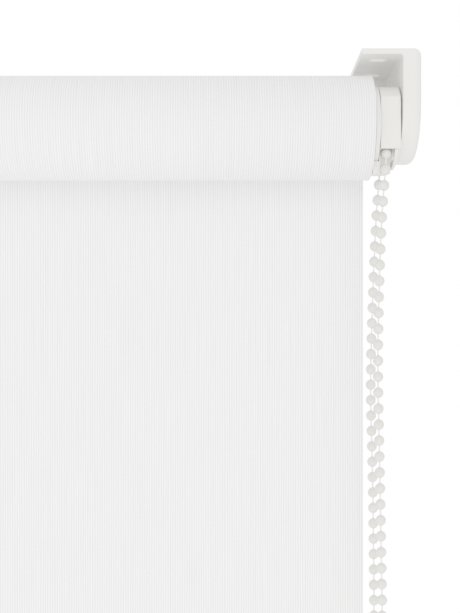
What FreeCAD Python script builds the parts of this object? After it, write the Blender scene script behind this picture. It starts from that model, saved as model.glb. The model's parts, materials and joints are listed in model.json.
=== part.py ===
import FreeCAD, Part
import math
import os

# Roller blind, chain operated, for a face, ceiling or recess fix.
# +X runs along the roller to the chain side, +Y points at the wall, +Z is up.
# The origin is the centre of the four ceiling slots, on the brackets' top faces.
# All sizes are in millimetres.

# ---- driving dimensions ----
OVERALL_WIDTH = 600.0        # over the outer faces of the two brackets
BRACKET_DEPTH = 42.0         # front edge to wall
BRACKET_HEIGHT = 42.6        # ceiling face to lowest point
WALL_THICKNESS = 7.65        # upright side of a bracket
PLATE_WIDTH = 16.7           # top and back plates, inwards from the upright side
PLATE_THICKNESS = 2.2
BRACKET_SWEEP_R = 21.0       # large round at the lower front of the upright side
BRACKET_RISE = 17.0          # degrees that the lower edge climbs towards the wall
BACK_PLATE_HEIGHT = 34.0     # ceiling face to the lower end of the back plate
BRACKET_EDGE_R = 3.2         # outer edges of the upright side
BRACKET_INNER_R = 1.2        # inner corners between the plates and the upright side
AXIS_DROP = 29.2             # ceiling face to roller axis
AXIS_TO_WALL = 27.0          # wall to roller axis

SLOT_LENGTH = 7.4            # screw slots, along X
SLOT_WIDTH = 4.2
SLOT_INSET = 9.1             # slot centre to the upright side
CEILING_SLOT_SPACING = 24.0
CEILING_SLOT_EDGE = 9.6      # front edge to the first slot
WALL_SLOT_TOP = 9.0          # ceiling face to the upper wall slot
WALL_SLOT_SPACING = 18.0

TUBE_R = 16.0
TUBE_WALL = 1.2
KEYWAY_WIDTH = 3.0           # groove that takes the fabric strip
KEYWAY_DEPTH = 2.2
ROLL_R = 21.15               # outside of the wound fabric
FABRIC_THICKNESS = 0.4
DROP = 600.0                 # roller axis to the bottom of the hem
SHEET_GAP = 0.15             # hanging fabric to the wound fabric

HEM_BAR_HEIGHT = 22.0
HEM_BAR_THICKNESS = 5.0
HEM_BAR_WALL = 1.2
HEM_CAP_THICKNESS = 3.0
HEM_FLAP = 8.0               # welded overlap above the pocket

WHEEL_POCKETS = 9
BEAD_PITCH = 6.5
BEAD_R = 2.1
CHAIN_CORD_R = 0.3
WHEEL_WIDTH = 4.6
WHEEL_TIP_DEPTH = 0.7        # the wheel's rim inside the line of the beads
FIRST_BEAD_RISE = 0.8        # the bead in the foremost pocket, above the axis
REAR_BEAD_DROP = 21.6        # the first bead of the rear run that hangs clear of the guide
REAR_SLACK_GAPS = 3          # gaps from that bead up to the wheel, where the cord is slack
SPINDLE_R = 5.0
SPINDLE_LENGTH = 31.0        # from the base into the tube

BASE_R = 17.0                # base of the clutch, where it shows below the guard
BASE_THICKNESS = 2.4
BASE_BEVEL = 2.5             # radial size of the bevel on its wall side
BASE_STANDOFF = 0.5          # base to the bracket
GUARD_LAP = 2.0              # how far the guard reaches over the base
GUARD_WIDTH = 8.0
GUARD_HEAD_ROOM = 3.8        # between the seated beads and the guard's round top
GUARD_SIDE_ROOM = 0.4        # between the beads and the guard's flat front and back
GUARD_WALL = 1.4
GUARD_SIDE_WALL = 0.6
GUARD_DROP = 10.75           # lower edge of the guard, below the axis
GUARD_EDGE_R = 0.4
GUIDE_DROP = 20.1            # lower front edge of the guide that parts the two chain runs
GUIDE_REAR_DROP = 18.1       # its lower rear edge
GUIDE_STEP = 1.4             # the guide is narrower by this much below the base's rim
GUIDE_SETBACK = 1.0          # the guide's front face behind the line of the beads
LIP_GAP = 0.35               # radial, the guide's lip round the turning flange
CHANNEL_OFFSET = -0.3        # channels to the wheel's middle, as the chain leans
CHANNEL_FIT = 0.5            # radial, a bead in the guide's channel
FLANGE_R = 17.0              # end flanges that turn with the tube
FLANGE_THICKNESS = 1.6
FLANGE_GAP = 0.45            # turning flange to fixed guard
RIM_GAP = 0.8                # tube end to flange

IDLE_GAP = 5.7               # idle flange to the bracket
IDLE_PLUG_LENGTH = 32.0
PIN_R = 4.0
PIN_NOSE_R = 3.0
PIN_ENGAGEMENT = 4.0         # how far the nose sits in the bracket
PIN_TRAVEL = 6.0
PIN_SHOULDER_R = 6.0
PIN_SHOULDER_LENGTH = 3.0

LUG_HEIGHT = 11.0
LUG_WIDTH = 5.0
LUG_DEPTH = 4.8

# ---- clearances ----
RUNNING = 0.06               # radial, a turning shaft in its hole
PLUG_FIT = 0.1               # radial, a plug in the tube
SEAT = 0.1                   # a lug in its recess, a cap in a bar, the base in the guard
POCKET_FIT = 0.2             # radial, a bead in the wheel's pocket
WHEEL_SIDE_GAP = 0.25        # the wheel beside the guard and the spindle's shoulder

# ---- places worked out from the sizes above ----
HALF = OVERALL_WIDTH / 2
WALL_IN = HALF - WALL_THICKNESS
FRONT_Y = -CEILING_SLOT_SPACING / 2 - CEILING_SLOT_EDGE
BACK_Y = FRONT_Y + BRACKET_DEPTH
AXIS_Y = BACK_Y - AXIS_TO_WALL
AXIS_Z = -AXIS_DROP
BASE_X = WALL_IN - BASE_STANDOFF - BASE_THICKNESS
GUARD_X = BASE_X + GUARD_LAP - GUARD_WIDTH
FLANGE_X1 = GUARD_X - FLANGE_GAP
FLANGE_X0 = FLANGE_X1 - FLANGE_THICKNESS
TUBE_X1 = FLANGE_X0 - RIM_GAP
IDLE_X0 = -WALL_IN + IDLE_GAP
TUBE_X0 = IDLE_X0 + FLANGE_THICKNESS + RIM_GAP
TUBE_BORE = TUBE_R - TUBE_WALL
PITCH_R = BEAD_PITCH / 2 / math.sin(math.pi / WHEEL_POCKETS)
GUARD_HALF_DEPTH = PITCH_R + BEAD_R + GUARD_SIDE_ROOM + GUARD_WALL
GUARD_TOP_R = PITCH_R + BEAD_R + GUARD_HEAD_ROOM + GUARD_WALL
GUIDE_HALF_DEPTH = PITCH_R - GUIDE_SETBACK
WHEEL_TIP_R = PITCH_R - WHEEL_TIP_DEPTH
WHEEL_X0 = GUARD_X + GUARD_SIDE_WALL + WHEEL_SIDE_GAP
WHEEL_X = WHEEL_X0 + WHEEL_WIDTH / 2
CROWN_X0 = FLANGE_X0 - 19.3
SPINDLE_X0 = BASE_X - SPINDLE_LENGTH
SHEET_Y0 = AXIS_Y + ROLL_R + SHEET_GAP
SHEET_Y = SHEET_Y0 + FABRIC_THICKNESS / 2
POCKET_HEIGHT = HEM_BAR_HEIGHT + 2 * (SEAT + FABRIC_THICKNESS)
POCKET_THICKNESS = HEM_BAR_THICKNESS + 2 * (SEAT + FABRIC_THICKNESS)
HEM_Z = AXIS_Z - DROP + POCKET_HEIGHT / 2

AXIS = FreeCAD.Vector(1, 0, 0)
CENTRE = FreeCAD.Vector(0, AXIS_Y, AXIS_Z)


def box(x0, x1, y0, y1, z0, z1):
    """A block between two corners."""
    return Part.makeBox(x1 - x0, y1 - y0, z1 - z0, FreeCAD.Vector(x0, y0, z0))


def near_axis(x0, x1, y0, y1, z0, z1):
    """A block whose Y and Z are counted from the roller axis."""
    return box(x0, x1, AXIS_Y + y0, AXIS_Y + y1, AXIS_Z + z0, AXIS_Z + z1)


def disc(x0, x1, radius):
    """A cylinder on the roller axis."""
    return Part.makeCylinder(radius, x1 - x0, FreeCAD.Vector(x0, AXIS_Y, AXIS_Z), AXIS)


def ring(x0, x1, inner, outer):
    """A tube on the roller axis."""
    return disc(x0, x1, outer).cut(disc(x0 - 1, x1 + 1, inner))


def polar(x, radius, degrees):
    """A point around the roller axis: 0 is the front, 90 the top."""
    a = math.radians(degrees)
    return FreeCAD.Vector(x, AXIS_Y - radius * math.cos(a), AXIS_Z + radius * math.sin(a))


def sector(x0, x1, inner, outer, start, end):
    """Part of a ring, from one polar angle to another, under 180 degrees apart."""
    far = outer / math.cos(math.radians((end - start) / 4)) + 1
    points = [polar(x0, 0, 0), polar(x0, far, start)]
    points += [polar(x0, far, (start + end) / 2), polar(x0, far, end)]
    wedge = Part.Face(Part.makePolygon(points + points[:1])).extrude(AXIS * (x1 - x0))
    return ring(x0, x1, inner, outer).common(wedge)


def slot_through(centre, along, depth):
    """A cutter for a screw slot with round ends: its long way is X, and it runs along +-depth."""
    reach = (SLOT_LENGTH - SLOT_WIDTH) / 2
    cutters = []
    for side in (-reach, reach):
        start = centre + FreeCAD.Vector(side, 0, 0) - along * depth
        cutters.append(Part.makeCylinder(SLOT_WIDTH / 2, 2 * depth, start, along))
    flat = Part.makeBox(2 * reach, SLOT_WIDTH, 2 * depth)
    flat.translate(FreeCAD.Vector(-reach, -SLOT_WIDTH / 2, -depth))
    if abs(along.y) > 0.5:
        flat.rotate(FreeCAD.Vector(0, 0, 0), AXIS, 90)
    flat.translate(centre)
    return cutters[0].fuse([cutters[1], flat]).removeSplitter()


def side_profile():
    """Outline of a bracket's upright side: swept round at the lower front, climbing to the wall."""
    bottom = -BRACKET_HEIGHT
    r = min(BRACKET_SWEEP_R, BRACKET_HEIGHT - 5, BRACKET_DEPTH - 12)
    rise = math.radians(BRACKET_RISE)
    centre_y = FRONT_Y + r
    centre_z = bottom + r
    top_front = FreeCAD.Vector(0, FRONT_Y, 0)
    arc_start = FreeCAD.Vector(0, FRONT_Y, centre_z)
    bend = math.radians(45)
    arc_mid = FreeCAD.Vector(0, centre_y - r * math.cos(bend), centre_z - r * math.sin(bend))
    arc_end = FreeCAD.Vector(0, centre_y + r * math.sin(rise), centre_z - r * math.cos(rise))
    climb = (BACK_Y - arc_end.y) * math.tan(rise)
    bottom_back = FreeCAD.Vector(0, BACK_Y, arc_end.z + climb)
    top_back = FreeCAD.Vector(0, BACK_Y, 0)
    edges = [Part.LineSegment(top_front, arc_start).toShape()]
    edges.append(Part.Arc(arc_start, arc_mid, arc_end).toShape())
    edges.append(Part.LineSegment(arc_end, bottom_back).toShape())
    edges.append(Part.LineSegment(bottom_back, top_back).toShape())
    edges.append(Part.LineSegment(top_back, top_front).toShape())
    return Part.Face(Part.Wire(edges))


def bracket_body():
    """The chain side's bracket without its roller seat: upright side, top plate and back plate."""
    side = side_profile().extrude(AXIS * WALL_THICKNESS)
    side.translate(AXIS * WALL_IN)
    outer = [e for e in side.Edges if all(abs(v.X - HALF) < 1e-6 for v in e.Vertexes)]
    rounded = [e for e in outer if min(v.Y for v in e.Vertexes) < BACK_Y - 1e-6]
    side = side.makeFillet(BRACKET_EDGE_R, rounded)
    plate_x = WALL_IN - PLATE_WIDTH
    top = box(plate_x, WALL_IN + 1, FRONT_Y, BACK_Y, -PLATE_THICKNESS, 0)
    back = box(plate_x, WALL_IN + 1, BACK_Y - PLATE_THICKNESS, BACK_Y, -BACK_PLATE_HEIGHT, 0)
    body = side.fuse([top, back]).removeSplitter()
    top_corner = (WALL_IN, -PLATE_THICKNESS)
    back_corner = (WALL_IN, BACK_Y - PLATE_THICKNESS)
    corners = [e for e in body.Edges
               if all(math.dist((v.X, v.Z), top_corner) < 1e-6 for v in e.Vertexes)
               or all(math.dist((v.X, v.Y), back_corner) < 1e-6 for v in e.Vertexes)]
    body = body.makeFillet(BRACKET_INNER_R, corners)
    slot_x = WALL_IN - SLOT_INSET
    for y in (-CEILING_SLOT_SPACING / 2, CEILING_SLOT_SPACING / 2):
        centre = FreeCAD.Vector(slot_x, y, -PLATE_THICKNESS / 2)
        body = body.cut(slot_through(centre, FreeCAD.Vector(0, 0, 1), PLATE_THICKNESS))
    for z in (-WALL_SLOT_TOP, -WALL_SLOT_TOP - WALL_SLOT_SPACING):
        centre = FreeCAD.Vector(slot_x, BACK_Y - PLATE_THICKNESS / 2, z)
        body = body.cut(slot_through(centre, FreeCAD.Vector(0, 1, 0), PLATE_THICKNESS))
    return body


def right_bracket():
    """Chain side: a blind recess takes the clutch's lug."""
    half_w = LUG_WIDTH / 2 + SEAT
    half_h = LUG_HEIGHT / 2 + SEAT
    recess = near_axis(WALL_IN - 1, WALL_IN + LUG_DEPTH + SEAT, -half_w, half_w, -half_h, half_h)
    return bracket_body().cut(recess)


BUSH_R = PIN_NOSE_R + 1.6
BUSH_DEPTH = PIN_ENGAGEMENT + 1.0
BUSH_RIM = 0.8


def left_bracket():
    """Idle side: the mirror image, with a blind hole for the pin bush."""
    hole = disc(WALL_IN - 1, WALL_IN + BUSH_DEPTH, BUSH_R)
    return bracket_body().cut(hole).mirror(FreeCAD.Vector(0, 0, 0), AXIS)


def pin_bush():
    """Rimmed bush that the idle pin turns in."""
    sleeve = ring(-WALL_IN - BUSH_DEPTH, -WALL_IN, PIN_NOSE_R + RUNNING, BUSH_R)
    rim = ring(-WALL_IN, -WALL_IN + BUSH_RIM, PIN_NOSE_R + RUNNING, BUSH_R + 2.4)
    return sleeve.fuse(rim).removeSplitter()


# ---- chain clutch ----
SHOULDER_X0 = WHEEL_X0 + WHEEL_WIDTH + WHEEL_SIDE_GAP
SHOULDER_R = SPINDLE_R + 3.0
CLIP_WIDTH = 1.2
CLIP_X = SPINDLE_X0 + 1.5
DRIVER_IN = 7.4
DRIVER_OUT = 9.1
CROWN_BORE = DRIVER_OUT + 0.3
CROWN_END = 4.0              # bearing at the inner end of the crown
SPRING_WIRE = 0.9


def clutch_spindle():
    """Fixed spindle: shaft, shoulder, and the lug that keys it to the bracket."""
    shaft = disc(SPINDLE_X0, SHOULDER_X0, SPINDLE_R)
    groove = ring(CLIP_X, CLIP_X + CLIP_WIDTH + 0.2, SPINDLE_R - 0.7, SPINDLE_R + 1)
    shoulder = disc(SHOULDER_X0, BASE_X, SHOULDER_R)
    lug = near_axis(BASE_X, WALL_IN + LUG_DEPTH, -LUG_WIDTH / 2, LUG_WIDTH / 2,
                    -LUG_HEIGHT / 2, LUG_HEIGHT / 2)
    return shaft.cut(groove).fuse([shoulder, lug]).removeSplitter()


def retaining_clip():
    """Open ring in the spindle's groove, which stops the crown from sliding off."""
    clip = ring(CLIP_X + 0.1, CLIP_X + 0.1 + CLIP_WIDTH, SPINDLE_R - 0.6, SPINDLE_R + 2.2)
    return clip.cut(near_axis(CLIP_X - 1, CLIP_X + 3, -2.5, 2.5, 0, SPINDLE_R + 4))


def clutch_base():
    """Base inside the guard's open side, round and bevelled below it, with a slot for the lug."""
    bevel_x = (BASE_THICKNESS - GUARD_LAP) + GUARD_LAP / 2
    full = disc(BASE_X, BASE_X + BASE_THICKNESS - bevel_x, BASE_R)
    start = FreeCAD.Vector(BASE_X + BASE_THICKNESS - bevel_x, AXIS_Y, AXIS_Z)
    cone = Part.makeCone(BASE_R, BASE_R - BASE_BEVEL, bevel_x, start, AXIS)
    half = GUARD_HALF_DEPTH - GUARD_WALL - SEAT
    lower = near_axis(BASE_X, WALL_IN, -half, half, -BASE_R, 0)
    upper = disc(BASE_X, WALL_IN, GUARD_TOP_R - GUARD_WALL - SEAT)
    upper = upper.common(near_axis(BASE_X, WALL_IN, -half, half, 0, BASE_R))
    plate = full.fuse(cone).common(lower.fuse(upper)).removeSplitter()
    boss = disc(BASE_X + BASE_THICKNESS, WALL_IN, SHOULDER_R + 1.5)
    half_w = LUG_WIDTH / 2 + SEAT
    half_h = LUG_HEIGHT / 2 + SEAT
    slot = near_axis(BASE_X - 1, WALL_IN + 1, -half_w, half_w, -half_h, half_h)
    return plate.fuse(boss).removeSplitter().cut(slot)


def guard_outline(top_r, half_depth, drop):
    """Outline of the chain guard: a round top, then flat front and back."""
    spring_z = math.sqrt(top_r ** 2 - half_depth ** 2)
    front = FreeCAD.Vector(0, AXIS_Y - half_depth, AXIS_Z + spring_z)
    back = FreeCAD.Vector(0, AXIS_Y + half_depth, AXIS_Z + spring_z)
    front_low = FreeCAD.Vector(0, AXIS_Y - half_depth, AXIS_Z - drop)
    back_low = FreeCAD.Vector(0, AXIS_Y + half_depth, AXIS_Z - drop)
    edges = [Part.Arc(front, FreeCAD.Vector(0, AXIS_Y, AXIS_Z + top_r), back).toShape()]
    edges.append(Part.LineSegment(back, back_low).toShape())
    edges.append(Part.LineSegment(back_low, front_low).toShape())
    edges.append(Part.LineSegment(front_low, front).toShape())
    return Part.Face(Part.Wire(edges))


def chain_guard():
    """Cover over the chain wheel, open below and closed against the base."""
    outer = guard_outline(GUARD_TOP_R, GUARD_HALF_DEPTH, GUARD_DROP)
    shell = outer.extrude(AXIS * GUARD_WIDTH)
    shell.translate(AXIS * GUARD_X)
    side_edges = [e for e in shell.Edges if all(abs(v.X - GUARD_X) < 1e-6 for v in e.Vertexes)
                  and max(v.Z for v in e.Vertexes) > AXIS_Z]
    shell = shell.makeFillet(min(GUARD_EDGE_R, GUARD_SIDE_WALL * 0.8), side_edges)
    inner = guard_outline(GUARD_TOP_R - GUARD_WALL, GUARD_HALF_DEPTH - GUARD_WALL, GUARD_DROP + 5)
    cavity = inner.extrude(AXIS * GUARD_WIDTH)
    cavity.translate(AXIS * (GUARD_X + GUARD_SIDE_WALL))
    hole = disc(GUARD_X - 1, GUARD_X + GUARD_SIDE_WALL + 1, CROWN_BORE + 0.5)
    return shell.cut(cavity).cut(hole)


def chain_guide():
    """Block below the wheel that parts the two chain runs, with a round channel for each."""
    depth = GUIDE_HALF_DEPTH
    left = GUARD_X + GUARD_SIDE_WALL + SEAT
    step_drop = math.sqrt((BASE_R - 0.3) ** 2 - depth ** 2)
    top = -(WHEEL_TIP_R + 0.3)
    side_top = -(GUARD_DROP + SEAT)
    upper = near_axis(left, BASE_X, -depth, depth, -step_drop, top)
    lower = near_axis(left, BASE_X - GUIDE_STEP, -depth, depth, -GUIDE_DROP, -step_drop)
    side = near_axis(GUARD_X, left, -depth, depth, -GUIDE_DROP, side_top)
    lip = near_axis(TUBE_X1 + 0.3, GUARD_X, -depth, depth, -GUIDE_DROP, side_top)
    lip = lip.cut(disc(TUBE_X1, GUARD_X + 1, max(FLANGE_R, TUBE_R) + LIP_GAP))
    guide = upper.fuse([lower, side, lip]).removeSplitter()
    corners = [(-depth - 1, -GUIDE_DROP - 5), (-depth - 1, -GUIDE_DROP), (-depth, -GUIDE_DROP),
               (depth, -GUIDE_REAR_DROP), (depth + 1, -GUIDE_REAR_DROP), (depth + 1, -GUIDE_DROP - 5)]
    points = [FreeCAD.Vector(TUBE_X1, AXIS_Y + y, AXIS_Z + z) for y, z in corners]
    under = Part.Face(Part.makePolygon(points + points[:1])).extrude(AXIS * (BASE_X - TUBE_X1))
    guide = guide.cut(under)
    for run_y in (CHAIN_ROUTE[0][1], CHAIN_ROUTE[-1][1]):
        start = FreeCAD.Vector(WHEEL_X + CHANNEL_OFFSET, AXIS_Y + run_y, AXIS_Z - GUIDE_DROP - 1)
        guide = guide.cut(Part.makeCylinder(BEAD_R + CHANNEL_FIT, GUIDE_DROP, start))
    return guide


def wheel_angles():
    """Polar angles of the chain wheel's pockets."""
    first = math.degrees(math.asin(FIRST_BEAD_RISE / PITCH_R))
    return [first + 360.0 / WHEEL_POCKETS * k for k in range(WHEEL_POCKETS)]


def chain_wheel():
    """Pocketed wheel that the bead chain turns, with the curved dog that drives the crown."""
    wheel = ring(WHEEL_X0, WHEEL_X0 + WHEEL_WIDTH, SPINDLE_R + RUNNING, WHEEL_TIP_R)
    neck = sector(GUARD_X - 0.3, WHEEL_X0 + 0.5, SPINDLE_R + RUNNING, DRIVER_OUT, 10, 170)
    dog = sector(CROWN_X0 + CROWN_END + 2, WHEEL_X0 + 0.5, DRIVER_IN, DRIVER_OUT, 10, 170)
    wheel = wheel.fuse([neck, dog]).removeSplitter()
    wheel = wheel.cut(ring(WHEEL_X - 0.9, WHEEL_X + 0.9, PITCH_R - 1.0, WHEEL_TIP_R + 1))
    for angle in wheel_angles():
        centre = polar(WHEEL_X, PITCH_R, angle)
        wheel = wheel.cut(Part.makeSphere(BEAD_R + POCKET_FIT, centre))
    return wheel


def wrap_spring(x0, turns, tang_angle):
    """Close-wound brake spring on the spindle, with a tang that the dog pushes."""
    inner = SPINDLE_R + RUNNING
    crest = inner + SPRING_WIRE
    outline = [FreeCAD.Vector(x0, inner, 0)]
    edges = []
    for k in range(turns):
        left = x0 + k * SPRING_WIRE
        valley = inner + SPRING_WIRE * 0.55
        a = FreeCAD.Vector(left, valley, 0)
        b = FreeCAD.Vector(left + SPRING_WIRE / 2, crest, 0)
        c = FreeCAD.Vector(left + SPRING_WIRE, valley, 0)
        if k == 0:
            edges.append(Part.LineSegment(outline[0], a).toShape())
        edges.append(Part.Arc(a, b, c).toShape())
        last = c
    end = FreeCAD.Vector(x0 + turns * SPRING_WIRE, inner, 0)
    edges.append(Part.LineSegment(last, end).toShape())
    edges.append(Part.LineSegment(end, outline[0]).toShape())
    coil = Part.Face(Part.Wire(edges)).revolve(FreeCAD.Vector(0, 0, 0), AXIS, 360)
    coil.translate(CENTRE)
    start = polar(x0 + SPRING_WIRE / 2, inner + SPRING_WIRE * 0.6, tang_angle)
    direction = polar(0, 1, tang_angle) - polar(0, 0, 0)
    tang = Part.makeCylinder(SPRING_WIRE / 2 - 0.03, DRIVER_OUT - inner - 1.0, start, direction)
    return coil.fuse(tang).removeSplitter()


def tube_key(radius):
    """Notch that clears the tube's keyway, out to a radius."""
    half = KEYWAY_WIDTH / 2 + TUBE_WALL + PLUG_FIT
    floor = TUBE_R - KEYWAY_DEPTH - TUBE_WALL - PLUG_FIT
    return near_axis(-HALF, HALF, -half, half, floor, radius + 1)


def ribbed_plug(x0, x1):
    """Body of an end plug: a core with long ribs that fit the tube's bore."""
    core = disc(x0, x1, TUBE_BORE - PLUG_FIT - 1.2)
    ribs = []
    for k in range(12):
        angle = 15 + 30 * k
        rib = near_axis(x0, x1 - 1, -0.8, 0.8, 0, TUBE_BORE + 1)
        rib.rotate(CENTRE, AXIS, angle)
        ribs.append(rib)
    fins = ribs[0].fuse(ribs[1:]).common(disc(x0, x1, TUBE_BORE - PLUG_FIT))
    return core.fuse(fins).removeSplitter().cut(tube_key(TUBE_R))


def clutch_crown():
    """Hub that fits the tube: flange, ribbed body, inner bearing and the rib that the dog drives."""
    flange = disc(FLANGE_X0, FLANGE_X1, FLANGE_R)
    neck = disc(TUBE_X1, FLANGE_X0, TUBE_R - 0.3)
    body = ribbed_plug(CROWN_X0, TUBE_X1).fuse([neck, flange])
    body = body.cut(disc(CROWN_X0 + CROWN_END, FLANGE_X1 + 1, CROWN_BORE))
    body = body.cut(disc(CROWN_X0 - 1, CROWN_X0 + CROWN_END + 1, SPINDLE_R + RUNNING))
    rib = sector(CROWN_X0 + CROWN_END - 0.5, FLANGE_X0, DRIVER_IN, CROWN_BORE + 0.5, 230, 310)
    return body.fuse(rib).removeSplitter()


# ---- roller ----
def tube():
    """Drawn aluminium tube with a keyway along its top."""
    length = (TUBE_X0, TUBE_X1)
    skin = ring(*length, TUBE_BORE, TUBE_R)
    half = KEYWAY_WIDTH / 2 + TUBE_WALL
    floor = TUBE_R - KEYWAY_DEPTH - TUBE_WALL
    channel = near_axis(*length, -half, half, floor, TUBE_BORE + 0.3)
    groove = near_axis(TUBE_X0 - 1, TUBE_X1 + 1, -KEYWAY_WIDTH / 2, KEYWAY_WIDTH / 2,
                       TUBE_R - KEYWAY_DEPTH, TUBE_R + 1)
    return skin.fuse(channel).removeSplitter().cut(groove)


def fabric_strip():
    """Flexible strip that locks the end of the fabric in the keyway."""
    half = KEYWAY_WIDTH / 2 - SEAT
    return near_axis(TUBE_X0, TUBE_X1, -half, half, TUBE_R - KEYWAY_DEPTH + SEAT, TUBE_R - 0.5)


def fabric_roll():
    """Fabric wound on the tube."""
    return ring(TUBE_X0, TUBE_X1, TUBE_R + 0.05, ROLL_R)


# ---- idle end ----
CHAMBER_R = PIN_SHOULDER_R + 0.2
SHOULDER_STOP = IDLE_X0 + 8.1
PLUG_CAP_THICKNESS = 2.0
PLUG_END = IDLE_X0 + IDLE_PLUG_LENGTH


def idle_plug():
    """Plug in the idle end of the tube: flange, ribbed body, pin bore and spring chamber."""
    flange = disc(IDLE_X0, IDLE_X0 + FLANGE_THICKNESS, FLANGE_R)
    neck = disc(IDLE_X0 + FLANGE_THICKNESS, TUBE_X0, TUBE_R - 0.3)
    body = ribbed_plug(-PLUG_END, -TUBE_X0).mirror(FreeCAD.Vector(0, 0, 0), AXIS)
    plug = body.fuse([flange, neck]).removeSplitter()
    plug = plug.cut(disc(IDLE_X0 - 1, SHOULDER_STOP + 1, PIN_R + RUNNING))
    return plug.cut(disc(SHOULDER_STOP, PLUG_END + 1, CHAMBER_R))


def plug_cap():
    """Disc that closes the spring chamber."""
    return disc(PLUG_END - PLUG_CAP_THICKNESS, PLUG_END, CHAMBER_R - 0.02)


def idle_pin():
    """Spring-loaded pin: nose for the bush, shaft, shoulder and spring tail."""
    nose_end = -WALL_IN - PIN_ENGAGEMENT
    nose_root = IDLE_X0 - 1.0 - PIN_TRAVEL / 2
    shoulder_end = SHOULDER_STOP + PIN_SHOULDER_LENGTH
    tail_end = PLUG_END - PLUG_CAP_THICKNESS - PIN_TRAVEL - 1
    tip = Part.makeCone(PIN_NOSE_R - 1, PIN_NOSE_R, 1, FreeCAD.Vector(nose_end, AXIS_Y, AXIS_Z), AXIS)
    nose = disc(nose_end + 1, nose_root, PIN_NOSE_R)
    shaft = disc(nose_root, SHOULDER_STOP, PIN_R)
    shoulder = disc(SHOULDER_STOP, shoulder_end, PIN_SHOULDER_R)
    tail = disc(shoulder_end, tail_end, PIN_R - 0.6)
    return tip.fuse([nose, shaft, shoulder, tail]).removeSplitter()


def idle_spring():
    """Compression spring behind the pin's shoulder, as a wound sleeve."""
    x0 = SHOULDER_STOP + PIN_SHOULDER_LENGTH + 0.02
    x1 = PLUG_END - PLUG_CAP_THICKNESS - 0.02
    coils = 8
    wire = 0.55
    middle = PIN_R + 0.75
    pitch = (x1 - x0 - 2 * wire) / (coils - 1)
    sleeve = ring(x0 + wire, x1 - wire, middle - 0.2, middle + 0.2)
    turns = []
    for k in range(coils):
        centre = FreeCAD.Vector(x0 + wire + k * pitch, AXIS_Y, AXIS_Z)
        turns.append(Part.makeTorus(middle, wire, centre, AXIS))
    return sleeve.fuse(turns)


# ---- hanging fabric and hem ----
def stadium(height, thickness, x0, x1):
    """A bar of flat oval section, standing on edge in the plane of the fabric."""
    r = thickness / 2
    half = height / 2 - r
    flat = box(x0, x1, SHEET_Y - r, SHEET_Y + r, HEM_Z - half, HEM_Z + half)
    ends = []
    for z in (HEM_Z - half, HEM_Z + half):
        ends.append(Part.makeCylinder(r, x1 - x0, FreeCAD.Vector(x0, SHEET_Y, z), AXIS))
    return flat.fuse(ends).removeSplitter()


def fabric_sheet():
    """Fabric that hangs from the back of the roll."""
    return box(TUBE_X0, TUBE_X1, SHEET_Y0, SHEET_Y0 + FABRIC_THICKNESS,
               HEM_Z + POCKET_HEIGHT / 2 + 0.01, AXIS_Z)


def hem_pocket():
    """Fabric turned round the hem bar, with the welded flap behind the sheet."""
    loop = stadium(POCKET_HEIGHT, POCKET_THICKNESS, TUBE_X0, TUBE_X1)
    bore = stadium(HEM_BAR_HEIGHT + 2 * SEAT, HEM_BAR_THICKNESS + 2 * SEAT, TUBE_X0 - 1, TUBE_X1 + 1)
    top = HEM_Z + POCKET_HEIGHT / 2
    back = SHEET_Y0 + FABRIC_THICKNESS
    flap = box(TUBE_X0, TUBE_X1, back + 0.02, back + 0.02 + FABRIC_THICKNESS, top - 0.35, top + HEM_FLAP)
    return loop.cut(bore).fuse(flap).removeSplitter()


def hem_bar():
    """Hollow aluminium bar that weights the fabric."""
    outer = stadium(HEM_BAR_HEIGHT, HEM_BAR_THICKNESS, TUBE_X0, TUBE_X1)
    inner = stadium(HEM_BAR_HEIGHT - 2 * HEM_BAR_WALL, HEM_BAR_THICKNESS - 2 * HEM_BAR_WALL,
                    TUBE_X0 - 1, TUBE_X1 + 1)
    return outer.cut(inner)


def hem_cap(end_x, outwards):
    """Moulded cap: an oval head outside the bar and a tongue inside it."""
    head_end = end_x + outwards * HEM_CAP_THICKNESS
    head = stadium(POCKET_HEIGHT + 0.4, POCKET_THICKNESS + 0.4, min(end_x, head_end), max(end_x, head_end))
    rim = [e for e in head.Edges if all(abs(v.X - head_end) < 1e-6 for v in e.Vertexes)]
    head = head.makeFillet(1.0, rim)
    inner = end_x - outwards * 10
    spare = 2 * (HEM_BAR_WALL + SEAT)
    tongue = stadium(HEM_BAR_HEIGHT - spare, HEM_BAR_THICKNESS - spare, min(end_x, inner), max(end_x, inner))
    return head.fuse(tongue).removeSplitter()


# ---- bead chain ----
# The route is counted from the chain wheel's middle: X along the roller, Y towards the wall, Z up.
# It leaves the wheel at the front, hangs down, turns and comes back up behind.
CHAIN_ROUTE = [
    (0.0, -9.5, 0.0), (-0.4, -9.6, -16.0), (-2.1, -9.4, -34.0), (-3.5, -9.6, -70.0),
    (-3.9, -9.4, -102.0), (-3.0, -9.6, -144.0), (-2.1, -9.4, -196.0), (-1.2, -9.6, -250.0),
    (-0.2, -9.4, -306.0), (0.4, -9.5, -362.0), (0.1, -9.7, -412.0), (-0.3, -9.5, -448.0),
    (-0.1, -9.6, -470.0), (0.0, -9.5, -482.5), (0.1, -9.5, -492.5), (0.1, -7.0, -497.0),
    (0.0, -2.6, -499.6), (-0.1, 2.5, -499.6), (-0.1, 6.9, -497.1), (0.0, 9.5, -492.6),
    (0.1, 9.4, -482.6), (-0.1, 9.5, -466.0), (-0.6, 9.7, -438.0), (-1.1, 9.4, -392.0),
    (-1.0, 9.5, -338.0), (-1.9, 9.3, -282.0), (-2.8, 9.6, -226.0), (-3.0, 9.4, -178.0),
    (-3.5, 9.6, -140.0), (-4.5, 9.4, -108.0), (-3.7, 9.6, -76.0), (-2.0, 9.4, -34.0),
    (-0.25, 9.5, -15.0), (0.0, 9.5, 0.0),
]
CONNECTOR_BEAD = 118         # the connector takes this bead's place, counted from the wheel
CONNECTOR_LENGTH = 8.4
CONNECTOR_R = 2.6


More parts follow.
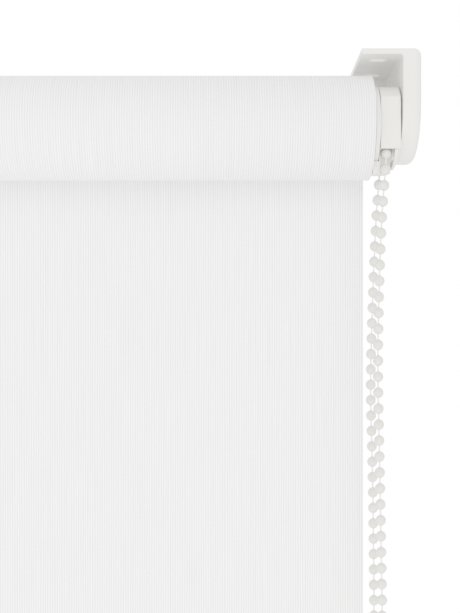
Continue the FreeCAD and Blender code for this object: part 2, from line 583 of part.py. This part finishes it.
def route_points():
    """The chain's route in the model's frame."""
    return [FreeCAD.Vector(WHEEL_X + x, AXIS_Y + y, AXIS_Z + z) for x, y, z in CHAIN_ROUTE]


def rounded_wire(points):
    """Straight runs joined by tangent arcs, each as large as its two runs allow."""
    edges = []
    radii = []
    start = points[0]
    for before, corner, after in zip(points, points[1:], points[2:]):
        back = (before - corner).normalize()
        ahead = (after - corner).normalize()
        turn = math.pi - back.getAngle(ahead)
        reach = 0.45 * min((before - corner).Length, (after - corner).Length)
        radius = reach / math.tan(turn / 2)
        radii.append(radius)
        enter = corner + back * reach
        leave = corner + ahead * reach
        inwards = (back + ahead).normalize()
        middle = corner + inwards * (radius / math.cos(turn / 2) - radius)
        edges.append(Part.LineSegment(start, enter).toShape())
        edges.append(Part.Arc(enter, middle, leave).toShape())
        start = leave
    edges.append(Part.LineSegment(start, points[-1]).toShape())
    return Part.Wire(edges), radii


def chain_cord(wire):
    """The cord that carries the beads, along its free loop."""
    first = wire.Edges[0]
    across = first.tangentAt(first.FirstParameter)
    profile = Part.Wire([Part.Circle(route_points()[0], across, CHAIN_CORD_R).toShape()])
    return wire.makePipeShell([profile], True, False)


def cord_over_wheel():
    """The cord where it lies in the wheel's groove."""
    loop = Part.makeTorus(PITCH_R, CHAIN_CORD_R, FreeCAD.Vector(WHEEL_X, AXIS_Y, AXIS_Z), AXIS)
    upper = near_axis(GUARD_X, BASE_X, -2 * PITCH_R, 2 * PITCH_R, 0, 2 * PITCH_R)
    return loop.common(upper)


def bead(centre):
    """One moulded bead."""
    return Part.makeSphere(BEAD_R, centre)


def free_bead_places(wire):
    """Where the free beads sit along the cord, with the cord's direction at each.

    They are evenly spaced down to the bottom and up again, and closer where the rear run is slack.
    """
    first = BEAD_PITCH - FIRST_BEAD_RISE
    last = wire.Length - REAR_BEAD_DROP
    count = round((last - first) / BEAD_PITCH)
    distances = [first + (last - first) / count * k for k in range(count + 1)]
    seated_drop = -PITCH_R * math.sin(math.radians(wheel_angles()[5]))
    gap = (REAR_BEAD_DROP - seated_drop) / REAR_SLACK_GAPS
    distances += [last + gap * k for k in range(1, REAR_SLACK_GAPS)]
    return [along(wire, distance) for distance in distances]


def along(wire, distance):
    """The point at a distance along a wire, and the wire's direction there."""
    for edge in wire.Edges:
        if distance <= edge.Length:
            parameter = edge.getParameterByLength(distance)
            return edge.valueAt(parameter), edge.tangentAt(parameter)
        distance -= edge.Length
    raise ValueError("the distance is past the end of the wire")


def chain_beads(places):
    """All free beads, apart from the one that the connector replaces."""
    kept = [p for k, (p, _) in enumerate(places) if k != CONNECTOR_BEAD]
    return Part.makeCompound([bead(p) for p in kept])


def wheel_beads():
    """Beads seated in the wheel's upper pockets."""
    seated = [a for a in wheel_angles() if a < 210]
    return Part.makeCompound([bead(polar(WHEEL_X, PITCH_R, a)) for a in seated])


def chain_connector(places):
    """Barrel that joins the two ends of the chain."""
    centre, direction = places[CONNECTOR_BEAD]
    start = centre - direction * (CONNECTOR_LENGTH / 2)
    barrel = Part.makeCylinder(CONNECTOR_R, CONNECTOR_LENGTH, start, direction)
    barrel = barrel.makeFillet(1.0, [e for e in barrel.Edges if e.Closed])
    waist_r = CONNECTOR_R - 0.4
    waist = Part.makeCylinder(CONNECTOR_R + 1, 1.6, centre - direction * 0.8, direction)
    waist = waist.cut(Part.makeCylinder(waist_r, 1.6, centre - direction * 0.8, direction))
    return barrel.cut(waist)


def export(name, shape):
    """Writes one sub-part."""
    shape.exportStep("parts/" + name + ".step")


def main():
    os.makedirs("parts", exist_ok=True)
    wire, radii = rounded_wire(route_points())
    places = free_bead_places(wire)
    print("chain cord radii, mm:", ", ".join("%.1f" % r for r in radii))
    print("chain cord length, mm: %.1f, free beads: %d" % (wire.Length, len(places)))
    cord = chain_cord(wire)
    section = math.pi * CHAIN_CORD_R ** 2
    print("cord volume over section times length: %.4f" % (cord.Volume / section / wire.Length))

    export("right_bracket", right_bracket())
    export("left_bracket", left_bracket())
    export("pin_bush", pin_bush())
    export("clutch_base", clutch_base())
    export("clutch_spindle", clutch_spindle())
    export("retaining_clip", retaining_clip())
    export("chain_guard", chain_guard())
    export("chain_guide", chain_guide())
    export("chain_wheel", chain_wheel())
    spring_x = CROWN_X0 + CROWN_END + 2.5
    export("wrap_spring_inner", wrap_spring(spring_x, 7, 200))
    export("wrap_spring_outer", wrap_spring(spring_x + 7.2, 7, 340))
    export("clutch_crown", clutch_crown())
    export("tube", tube())
    export("fabric_strip", fabric_strip())
    export("fabric_roll", fabric_roll())
    export("idle_plug", idle_plug())
    export("idle_pin", idle_pin())
    export("idle_spring", idle_spring())
    export("plug_cap", plug_cap())
    export("fabric_sheet", fabric_sheet())
    export("hem_pocket", hem_pocket())
    export("hem_bar", hem_bar())
    export("hem_cap_left", hem_cap(TUBE_X0, -1))
    export("hem_cap_right", hem_cap(TUBE_X1, 1))
    export("chain_cord", cord)
    export("cord_over_wheel", cord_over_wheel())
    export("chain_beads", chain_beads(places))
    export("wheel_beads", wheel_beads())
    export("chain_connector", chain_connector(places))


main()
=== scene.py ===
import json
import math

import bpy
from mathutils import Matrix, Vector


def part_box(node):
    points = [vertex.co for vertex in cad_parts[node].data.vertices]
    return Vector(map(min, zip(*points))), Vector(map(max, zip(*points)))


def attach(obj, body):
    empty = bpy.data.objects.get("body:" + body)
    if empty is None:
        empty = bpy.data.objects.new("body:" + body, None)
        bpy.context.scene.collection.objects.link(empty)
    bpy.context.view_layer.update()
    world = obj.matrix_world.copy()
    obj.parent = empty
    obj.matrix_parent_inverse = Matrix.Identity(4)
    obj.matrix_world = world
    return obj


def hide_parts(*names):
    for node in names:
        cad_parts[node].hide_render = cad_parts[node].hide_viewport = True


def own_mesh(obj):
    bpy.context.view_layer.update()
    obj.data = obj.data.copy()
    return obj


# Roller blind with a bead chain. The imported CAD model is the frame; this script adds the fabric,
# the chain and the coil springs, and gives everything its finish. All sizes are in metres.

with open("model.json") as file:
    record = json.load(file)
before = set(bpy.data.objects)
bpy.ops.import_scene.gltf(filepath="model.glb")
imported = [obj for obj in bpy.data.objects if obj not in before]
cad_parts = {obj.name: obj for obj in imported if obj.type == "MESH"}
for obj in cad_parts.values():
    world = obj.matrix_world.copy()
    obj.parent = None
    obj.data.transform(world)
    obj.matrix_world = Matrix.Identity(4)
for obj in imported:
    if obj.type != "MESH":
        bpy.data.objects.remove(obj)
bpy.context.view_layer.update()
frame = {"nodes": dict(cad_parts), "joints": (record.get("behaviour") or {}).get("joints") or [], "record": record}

MM = 0.001
TAU = 2 * math.pi
record = frame["record"]
joints = {joint["name"]: joint for joint in frame["joints"]}
slots = {material["slot"]: material for material in record["materials"]}
AXIS = Vector(joints["roller_turn"]["pos_m"])

# Sizes repeated from the part's source.
TUBE_R = 16.0 * MM
FABRIC = 0.4 * MM
BEAD_R = 2.1 * MM
BEAD_PITCH = 6.5 * MM
CORD_R = 0.3 * MM
WHEEL_POCKETS = 9
SEATED_BEADS = 6
FIRST_BEAD_RISE = 0.8 * MM
REAR_BEAD_DROP = 21.6 * MM
REAR_SLACK_GAPS = 3
SEATED_DROP = 3.97 * MM          # the last seated bead, below the axis
CONNECTOR_BEAD = 118
SPRING_WIRE = 0.9 * MM
CHAIN_ROUTE = [                  # from the wheel's middle, in millimetres
    (0.0, -9.5, 0.0), (-0.4, -9.6, -16.0), (-2.1, -9.4, -34.0), (-3.5, -9.6, -70.0),
    (-3.9, -9.4, -102.0), (-3.0, -9.6, -144.0), (-2.1, -9.4, -196.0), (-1.2, -9.6, -250.0),
    (-0.2, -9.4, -306.0), (0.4, -9.5, -362.0), (0.1, -9.7, -412.0), (-0.3, -9.5, -448.0),
    (-0.1, -9.6, -470.0), (0.0, -9.5, -482.5), (0.1, -9.5, -492.5), (0.1, -7.0, -497.0),
    (0.0, -2.6, -499.6), (-0.1, 2.5, -499.6), (-0.1, 6.9, -497.1), (0.0, 9.5, -492.6),
    (0.1, 9.4, -482.6), (-0.1, 9.5, -466.0), (-0.6, 9.7, -438.0), (-1.1, 9.4, -392.0),
    (-1.0, 9.5, -338.0), (-1.9, 9.3, -282.0), (-2.8, 9.6, -226.0), (-3.0, 9.4, -178.0),
    (-3.5, 9.6, -140.0), (-4.5, 9.4, -108.0), (-3.7, 9.6, -76.0), (-2.0, 9.4, -34.0),
    (-0.25, 9.5, -15.0), (0.0, 9.5, 0.0),
]

# The look of the cloth and of the beads.
RIB_PITCH = 1.02 * MM
RIB_SHARE, SLUB_SHARE, SPECKLE_SHARE = 0.56, 0.7, 0.4
SLUB_CONTRAST = 0.185
CLOTH_WHITENESS = 1.02           # how much lighter than the slot's flat colour
BEAD_MOTTLE = 0.5


# ---- materials ----
def new_material(name, slot, roughness, metallic=0.0):
    """A Principled material in the record's colour for a slot."""
    material = bpy.data.materials.new(name)
    material.use_nodes = True
    shader = material.node_tree.nodes["Principled BSDF"]
    shader.inputs["Base Color"].default_value = (*slots[slot]["base_color"], 1.0)
    shader.inputs["Roughness"].default_value = roughness
    shader.inputs["Metallic"].default_value = metallic
    return material, material.node_tree, shader


def coordinate(tree, kind="Object"):
    """A texture coordinate socket."""
    return tree.nodes.new("ShaderNodeTexCoord").outputs[kind]


def add_bump(tree, shader, height, strength, distance):
    """Bump from a height socket."""
    bump = tree.nodes.new("ShaderNodeBump")
    bump.inputs["Strength"].default_value = strength
    bump.inputs["Distance"].default_value = distance
    tree.links.new(height, bump.inputs["Height"])
    tree.links.new(bump.outputs["Normal"], shader.inputs["Normal"])


def scaled_noise(tree, source, scale, detail=2.0):
    """Noise over coordinates in metres, with its own scale along each direction."""
    mapping = tree.nodes.new("ShaderNodeMapping")
    mapping.inputs["Scale"].default_value = scale
    noise = tree.nodes.new("ShaderNodeTexNoise")
    noise.inputs["Scale"].default_value = 1.0
    noise.inputs["Detail"].default_value = detail
    tree.links.new(source, mapping.inputs["Vector"])
    tree.links.new(mapping.outputs["Vector"], noise.inputs["Vector"])
    return noise.outputs["Fac"]


def multiply_add(tree, value, factor, offset=0.0):
    """value * factor + offset."""
    node = tree.nodes.new("ShaderNodeMath")
    node.operation = "MULTIPLY_ADD"
    tree.links.new(value, node.inputs[0])
    node.inputs[1].default_value = factor
    node.inputs[2].default_value = offset
    return node.outputs[0]


def added(tree, first, second):
    """The sum of two sockets."""
    node = tree.nodes.new("ShaderNodeMath")
    tree.links.new(first, node.inputs[0])
    tree.links.new(second, node.inputs[1])
    return node.outputs[0]


def shade_colour(tree, shader, colour, factor):
    """Make the base colour one colour times a factor socket."""
    tint = tree.nodes.new("ShaderNodeVectorMath")
    tint.operation = "SCALE"
    tint.inputs[0].default_value = colour
    tree.links.new(factor, tint.inputs["Scale"])
    tree.links.new(tint.outputs["Vector"], shader.inputs["Base Color"])


def soften(shader):
    """A little light passes under a plastic's surface."""
    shader.inputs["Subsurface Weight"].default_value = 0.08
    shader.inputs["Subsurface Radius"].default_value = (0.9, 0.8, 0.7)
    shader.inputs["Subsurface Scale"].default_value = 0.6 * MM


def plastic(name, slot, roughness):
    """Moulded plastic with a faint spark-eroded grain."""
    material, tree, shader = new_material(name, slot, roughness)
    height = scaled_noise(tree, coordinate(tree), (2600, 2600, 2600))
    add_bump(tree, shader, height, 0.25, 0.02 * MM)
    soften(shader)
    return material


def pitted_plastic(name, slot, roughness):
    """Moulded plastic of uneven shade, with shallow pits under a millimetre across."""
    material, tree, shader = new_material(name, slot, roughness)
    patches = scaled_noise(tree, coordinate(tree), (1500, 1500, 1500), 3.0)
    shade_colour(tree, shader, slots[slot]["base_color"],
                 multiply_add(tree, patches, BEAD_MOTTLE, 1.0 - BEAD_MOTTLE / 2))
    add_bump(tree, shader, patches, 0.8, 0.06 * MM)
    soften(shader)
    return material


def metal(name, slot, roughness, scale):
    """Drawn or extruded metal with fine marks."""
    material, tree, shader = new_material(name, slot, roughness, 1.0)
    add_bump(tree, shader, scaled_noise(tree, coordinate(tree), scale), 0.15, 0.01 * MM)
    return material


def braid(name, slot, roughness):
    """Braided cord."""
    material, tree, shader = new_material(name, slot, roughness)
    height = scaled_noise(tree, coordinate(tree), (3000, 3000, 1400))
    add_bump(tree, shader, height, 0.6, 0.1 * MM)
    return material


def cloth(name, kind, across, down):
    """Neutral fabric with uneven ribs that run down the blind, over coordinates in metres."""
    material, tree, shader = new_material(name, "blind_fabric", 0.9)
    source = coordinate(tree, kind)

    def stretched(across_scale, down_scale, detail):
        scale = [6.0, 6.0, 6.0]
        scale[across], scale[down] = across_scale, down_scale
        return scaled_noise(tree, source, scale, detail)

    split = tree.nodes.new("ShaderNodeSeparateXYZ")
    tree.links.new(source, split.inputs[0])
    drift = stretched(170, 9, 1.0)
    wave = tree.nodes.new("ShaderNodeMath")
    wave.operation = "SINE"
    phase = added(tree, multiply_add(tree, split.outputs[across], TAU / RIB_PITCH),
                  multiply_add(tree, drift, 3.0))
    tree.links.new(phase, wave.inputs[0])
    slubs = stretched(2300, 30, 0.0)
    speckle = stretched(1400, 900, 2.0)
    pattern = added(tree, multiply_add(tree, wave.outputs[0], RIB_SHARE),
                    multiply_add(tree, slubs, SLUB_SHARE, -SLUB_SHARE / 2))
    pattern = added(tree, pattern, multiply_add(tree, speckle, SPECKLE_SHARE, -SPECKLE_SHARE / 2))
    grey = sum(slots["blind_fabric"]["base_color"]) / 3
    shade_colour(tree, shader, (grey, grey, grey),
                 multiply_add(tree, pattern, SLUB_CONTRAST, CLOTH_WHITENESS))
    add_bump(tree, shader, pattern, 0.35, 0.04 * MM)
    shader.inputs["Sheen Weight"].default_value = 0.15
    shader.inputs["Sheen Roughness"].default_value = 0.6
    return material


bead_plastic = pitted_plastic("bead_moulding", "chain_plastic", 0.4)
cord_fibre = braid("cord_braid", "chain_cord", 0.85)
spring_steel = metal("drawn_steel", "spring_steel", 0.3, (1200, 1200, 1200))
flat_cloth = cloth("woven_fabric", "Object", 0, 2)
rolled_cloth = cloth("woven_fabric_wound", "UV", 0, 1)
FINISH = {
    "bracket_plastic": plastic("bracket_moulding", "bracket_plastic", 0.42),
    "clutch_plastic": plastic("clutch_moulding", "clutch_plastic", 0.5),
    "strip_plastic": plastic("strip_extrusion", "strip_plastic", 0.4),
    "aluminium": metal("extruded_aluminium", "aluminium", 0.35, (40, 1500, 1500)),
    "spring_steel": spring_steel,
    "chain_plastic": bead_plastic,
    "chain_cord": cord_fibre,
    "blind_fabric": flat_cloth,
}
for subpart in record["subparts"]:
    node = frame["nodes"][subpart["node"]]
    node.data.materials.clear()
    node.data.materials.append(FINISH[subpart["material_slot"]])


# ---- making pieces ----
def piece(name, vertices, faces, material, body, uvs=None, smooth=True):
    """A mesh piece that rides on a body."""
    mesh = bpy.data.meshes.new(name)
    mesh.from_pydata(vertices, [], faces)
    mesh.validate()
    if uvs:
        layer = mesh.uv_layers.new(name="uv")
        for loop in mesh.loops:
            layer.data[loop.index].uv = uvs[loop.vertex_index]
    mesh.polygons.foreach_set("use_smooth", [smooth] * len(mesh.polygons))
    mesh.materials.append(material)
    mesh.update()
    made = bpy.data.objects.new(name, mesh)
    bpy.context.scene.collection.objects.link(made)
    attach(made, body)
    return made


def ring_faces(base, rings, sides):
    """Faces of a tube of rings from one vertex number on, with a flat cap at each end."""
    faces = []
    for ring in range(rings - 1):
        for k in range(sides):
            a = base + ring * sides + k
            b = base + ring * sides + (k + 1) % sides
            faces.append((a, b, b + sides, a + sides))
    last = base + (rings - 1) * sides
    faces.append(tuple(base + k for k in reversed(range(sides))))
    faces.append(tuple(last + k for k in range(sides)))
    return faces


# ---- the wound fabric: one spiral strip, tight on the tube and open at its outer end ----
ROLL_STEPS = 180
SHEET_LAP = 0.15 * MM            # the outer turn goes this far into the sheet that leaves it
TURN_PITCH = FABRIC * 1.02
STRIP_THICKNESS = FABRIC * 0.94
EDGE_SOFT = 0.08 * MM
EDGE_WANDER = 0.05 * MM

roll_lo, roll_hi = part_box("fabric_roll")
sheet_lo, sheet_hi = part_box("fabric_sheet")
ROLL_OUTER = sheet_lo.y - AXIS.y + SHEET_LAP
spiral_turns = int((ROLL_OUTER - TUBE_R - FABRIC) / TURN_PITCH)
spiral_points = []               # the angle, the outer radius, and the length of strip so far
strip_length = 0.0
for step in range(spiral_turns * ROLL_STEPS + 1):
    turned = TAU * step / ROLL_STEPS
    outer = ROLL_OUTER - TURN_PITCH * turned / TAU
    strip_length += outer * TAU / ROLL_STEPS
    spiral_points.append((turned, outer, strip_length))


def spiral_row(x, inset):
    """Both faces of the strip at one X, in pairs with the outer face first."""
    points = []
    for turned, outer, _ in spiral_points:
        wander = EDGE_WANDER * math.sin(turned * 1.7 + 3.0 * math.sin(turned * 0.31))
        for radius in (outer - inset, outer - STRIP_THICKNESS + inset):
            points.append(Vector((x + wander, AXIS.y + radius * math.cos(turned),
                                  AXIS.z + radius * math.sin(turned))))
    return points


rows = [spiral_row(roll_lo.x, EDGE_SOFT), spiral_row(roll_lo.x + EDGE_SOFT, 0),
        spiral_row(roll_hi.x - EDGE_SOFT, 0), spiral_row(roll_hi.x, EDGE_SOFT)]
per_row = len(rows[0])
vertices = [p for row in rows for p in row]
faces = []
for row in range(len(rows) - 1):
    for k in range(0, per_row - 2, 2):
        a, b = row * per_row + k, row * per_row + k + 2
        faces.append((a, a + per_row, b + per_row, b))
        faces.append((a + 1, b + 1, b + per_row + 1, a + per_row + 1))
    for k, flip in ((0, False), (per_row - 2, True)):
        a = row * per_row + k
        quad = (a, a + 1, a + per_row + 1, a + per_row)
        faces.append(quad[::-1] if flip else quad)
for row, flip in ((0, False), (len(rows) - 1, True)):
    for k in range(0, per_row - 2, 2):
        a = row * per_row + k
        quad = (a, a + 2, a + 3, a + 1)
        faces.append(quad[::-1] if flip else quad)
uvs = [(p.x, spiral_points[(k % per_row) // 2][2]) for k, p in enumerate(vertices)]
wound_fabric = piece("wound_fabric", vertices, faces, rolled_cloth, "roller", uvs)
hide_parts("fabric_roll")

# ---- the hanging fabric: two faces of a grid, with a faint ripple across ----
SHEET_COLUMNS, SHEET_ROWS = 60, 60
RIPPLE, RIPPLES = 0.12 * MM, 5

sheet_middle = (sheet_lo.y + sheet_hi.y) / 2
grid = []
for side in (-1, 1):
    for row in range(SHEET_ROWS + 1):
        down = row / SHEET_ROWS
        z = sheet_hi.z + (sheet_lo.z - sheet_hi.z) * down
        for column in range(SHEET_COLUMNS + 1):
            across = column / SHEET_COLUMNS
            x = sheet_lo.x + (sheet_hi.x - sheet_lo.x) * across
            ripple = RIPPLE * math.sin(TAU * across * RIPPLES + 2 * down) * math.sin(math.pi * down)
            grid.append(Vector((x, sheet_middle + side * FABRIC / 2 + ripple, z)))
layer = (SHEET_COLUMNS + 1) * (SHEET_ROWS + 1)
faces = []
for row in range(SHEET_ROWS):
    for column in range(SHEET_COLUMNS):
        a = row * (SHEET_COLUMNS + 1) + column
        b = a + SHEET_COLUMNS + 1
        faces.append((a, b, b + 1, a + 1))
        faces.append((a + layer, a + 1 + layer, b + 1 + layer, b + layer))
border = list(range(SHEET_COLUMNS + 1))
border += [(row + 1) * (SHEET_COLUMNS + 1) - 1 for row in range(1, SHEET_ROWS + 1)]
border += [layer - 1 - column for column in range(1, SHEET_COLUMNS + 1)]
border += [row * (SHEET_COLUMNS + 1) for row in range(SHEET_ROWS - 1, 0, -1)]
for a, b in zip(border, border[1:] + border[:1]):
    faces.append((a, b, b + layer, a + layer))
hanging_fabric = piece("hanging_fabric", grid, faces, flat_cloth, "brackets",
                       smooth=False)
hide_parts("fabric_sheet")
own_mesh(hanging_fabric)

# ---- the chain's cord: one open curve, from the wheel's front round to its back ----
seated_lo, seated_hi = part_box("wheel_beads")
WHEEL = Vector(((seated_lo.x + seated_hi.x) / 2, AXIS.y, AXIS.z))
route = [WHEEL + Vector(point) * MM for point in CHAIN_ROUTE]
curve = bpy.data.curves.new("chain_line", "CURVE")
curve.dimensions = "3D"
spline = curve.splines.new("NURBS")
spline.points.add(len(route) - 1)
for point, position in zip(spline.points, route):
    point.co = (*position, 1.0)
spline.order_u = 3
spline.use_endpoint_u = True
spline.resolution_u = 12
chain_line = bpy.data.objects.new("chain_line", curve)
bpy.context.scene.collection.objects.link(chain_line)
bpy.context.view_layer.update()
line_mesh = bpy.data.meshes.new_from_object(chain_line)
line = [v.co.copy() for v in line_mesh.vertices]
bpy.data.meshes.remove(line_mesh)
if (line[0] - route[0]).length > (line[-1] - route[0]).length:
    line.reverse()
distances = [0.0]
for a, b in zip(line, line[1:]):
    distances.append(distances[-1] + (b - a).length)
LENGTH = distances[-1]
curve.bevel_depth = CORD_R
curve.bevel_resolution = 3
curve.use_fill_caps = True
curve.materials.append(cord_fibre)
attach(chain_line, "brackets")
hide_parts("chain_cord")

# ---- the beads ----
BEAD_SIDES, BEAD_BANDS = ((22, 14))
BEAD_STRETCH = 1.045
COLLAR_R, COLLAR_LENGTH = 0.55 * MM, 0.12 * MM


def place_on_line(distance):
    """The point at a distance along the chain, and the direction there."""
    for k in range(len(line) - 1):
        if distance <= distances[k + 1]:
            run = line[k + 1] - line[k]
            share = (distance - distances[k]) / (distances[k + 1] - distances[k])
            return line[k] + run * share, run.normalized()
    raise ValueError("the distance is past the end of the chain")


def bead_profile():
    """Outline of a bead, with a short collar round the cord at each end: radius and height."""
    start = math.asin(COLLAR_R / BEAD_R)
    angles = [start + (math.pi - 2 * start) * k / BEAD_BANDS for k in range(BEAD_BANDS + 1)]
    round_part = [(BEAD_R * math.sin(a), -BEAD_R * BEAD_STRETCH * math.cos(a)) for a in angles]
    tip = round_part[0][1] - COLLAR_LENGTH
    return ([(CORD_R * 0.9, tip), (COLLAR_R * 0.85, tip)] + round_part
            + [(COLLAR_R * 0.85, -tip), (CORD_R * 0.9, -tip)])


def add_bead(vertices, faces, centre, direction):
    """One bead on the cord."""
    side = direction.orthogonal().normalized()
    other = direction.cross(side)
    base = len(vertices)
    for radius, height in profile:
        for k in range(BEAD_SIDES):
            a = TAU * k / BEAD_SIDES
            out = side * math.cos(a) + other * math.sin(a)
            vertices.append(centre + direction * height + out * radius)
    faces.extend(ring_faces(base, len(profile), BEAD_SIDES))


profile = bead_profile()
first = BEAD_PITCH - FIRST_BEAD_RISE
last = LENGTH - REAR_BEAD_DROP
count = round((last - first) / BEAD_PITCH)
bead_distances = [first + (last - first) / count * k for k in range(count + 1)]
slack_gap = (REAR_BEAD_DROP - SEATED_DROP) / REAR_SLACK_GAPS
bead_distances += [last + slack_gap * k for k in range(1, REAR_SLACK_GAPS)]
vertices, faces = [], []
for k, distance in enumerate(bead_distances):
    if k != CONNECTOR_BEAD:
        add_bead(vertices, faces, *place_on_line(distance))
bead_string = piece("bead_string", vertices, faces, bead_plastic, "brackets")
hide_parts("chain_beads")

vertices, faces = [], []
pitch_r = BEAD_PITCH / 2 / math.sin(math.pi / WHEEL_POCKETS)
start_angle = math.asin(FIRST_BEAD_RISE / pitch_r)
for k in range(SEATED_BEADS):
    a = start_angle + TAU * k / WHEEL_POCKETS
    centre = WHEEL + Vector((0, -math.cos(a), math.sin(a))) * pitch_r
    add_bead(vertices, faces, centre, Vector((0, math.sin(a), math.cos(a))))
seated_beads = piece("seated_beads", vertices, faces, bead_plastic, "brackets")
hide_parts("wheel_beads")

# ---- coil springs ----
WIRE_SIDES = 10
STEPS_PER_TURN = 40
WRAP_INNER_R = 5.06 * MM         # just clear of the spindle
WRAP_WIRE = SPRING_WIRE * 0.96
WRAP_TURNS = 7
WRAP_TAIL = 8.1 * MM             # how far out the tang reaches
IDLE_INNER_R, IDLE_WIRE, IDLE_TURNS = 4.25 * MM, 1.0 * MM, 8


def coil(name, node, body, inner_r, wire, turns, start_angle, tail=None):
    """A wound spring in the space of a CAD sleeve, with an outward tang where a tail is given."""
    lo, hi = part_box(node)
    x0, x1 = lo.x + wire / 2, hi.x - wire / 2

    def at(x, radius, angle):
        return Vector((x, AXIS.y - radius * math.cos(angle), AXIS.z + radius * math.sin(angle)))

    path = [at(x0, tail, start_angle)] if tail else []
    steps = int(turns * STEPS_PER_TURN)
    for k in range(steps + 1):
        a = start_angle + TAU * turns * k / steps
        path.append(at(x0 + (x1 - x0) * k / steps, inner_r + wire / 2, a))
    vertices = []
    for k, p in enumerate(path):
        ahead = (path[min(k + 1, len(path) - 1)] - path[max(k - 1, 0)]).normalized()
        out = Vector((0, p.y - AXIS.y, p.z - AXIS.z)).normalized()
        side = ahead.cross(out).normalized()
        if side.length < 0.5:    # the tang points straight out
            side = Vector((1, 0, 0))
        up = side.cross(ahead).normalized()
        for s in range(WIRE_SIDES):
            b = TAU * s / WIRE_SIDES
            vertices.append(p + (up * math.cos(b) + side * math.sin(b)) * wire / 2)
    faces = ring_faces(0, len(path), WIRE_SIDES)
    made = piece(name, vertices, faces, spring_steel, body)
    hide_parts(node)
    return made


for name, node, turned in (("inner_wrap_coil", "wrap_spring_inner", 200),
                           ("outer_wrap_coil", "wrap_spring_outer", 340)):
    coil(name, node, "chain_wheel", WRAP_INNER_R, WRAP_WIRE, WRAP_TURNS, math.radians(turned),
         WRAP_TAIL)

idle_coil = coil("idle_coil", "idle_spring", "roller", IDLE_INNER_R, IDLE_WIRE, IDLE_TURNS, 0.0)
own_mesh(idle_coil)

# ---- light, camera and output ----
AMBIENT = 0.67
FRONT_POWER, FRONT_SIZE = 9.4, 2.8
LOW_POWER, LOW_SIZE = 3.6, 1.6
CAMERA_BACK, CAMERA_BELOW, CAMERA_LEFT = 0.526, 0.1171, 0.06835    # from the roll's right-hand end

scene = bpy.context.scene
world = bpy.data.worlds.new("studio")
scene.world = world
world.use_nodes = True
nodes, links = world.node_tree.nodes, world.node_tree.links
background = nodes["Background"]
background.inputs["Color"].default_value = (1.0, 1.0, 1.0, 1.0)
background.inputs["Strength"].default_value = 1.0
ambient = nodes.new("ShaderNodeBackground")
ambient.inputs["Color"].default_value = (1.0, 1.0, 1.0, 1.0)
ambient.inputs["Strength"].default_value = AMBIENT
seen = nodes.new("ShaderNodeLightPath")
choose = nodes.new("ShaderNodeMixShader")
links.new(seen.outputs["Is Camera Ray"], choose.inputs["Fac"])
links.new(ambient.outputs[0], choose.inputs[1])
links.new(background.outputs[0], choose.inputs[2])
links.new(choose.outputs[0], nodes["World Output"].inputs["Surface"])


def area_light(name, position, target, size, power):
    """A soft square light aimed at a point."""
    light = bpy.data.lights.new(name, "AREA")
    light.size = size
    light.energy = power
    made = bpy.data.objects.new(name, light)
    made.location = position
    made.rotation_euler = (target - position).to_track_quat("-Z", "Y").to_euler()
    bpy.context.scene.collection.objects.link(made)


clutch_end = Vector((roll_hi.x, AXIS.y, AXIS.z))
area_light("front", clutch_end + Vector((-0.25, -2.1, -0.35)),
           clutch_end + Vector((-0.2, 0, -0.1)), FRONT_SIZE, FRONT_POWER)
area_light("low", clutch_end + Vector((-0.25, -1.1, -1.7)),
           clutch_end + Vector((-0.1, 0, -0.05)), LOW_SIZE, LOW_POWER)

camera = bpy.data.cameras.new("camera")
camera.lens = 74.35
camera.sensor_width = 36.0
camera.shift_x = 0.0408
camera.shift_y = 0.17
camera.clip_start = 0.01
camera.clip_end = 50.0
view = bpy.data.objects.new("camera", camera)
scene.collection.objects.link(view)
view.location = (roll_hi.x - CAMERA_LEFT, AXIS.y - CAMERA_BACK, AXIS.z - CAMERA_BELOW)
view.rotation_euler = (math.pi / 2, 0, 0)
scene.camera = view

scene.render.engine = "CYCLES"
scene.cycles.samples = 160
scene.cycles.use_denoising = True
scene.render.resolution_x = 920
scene.render.resolution_y = 1226
scene.view_settings.view_transform = "Standard"
scene.view_settings.look = "None"
scene.view_settings.gamma = 2.1        # a high-key print curve
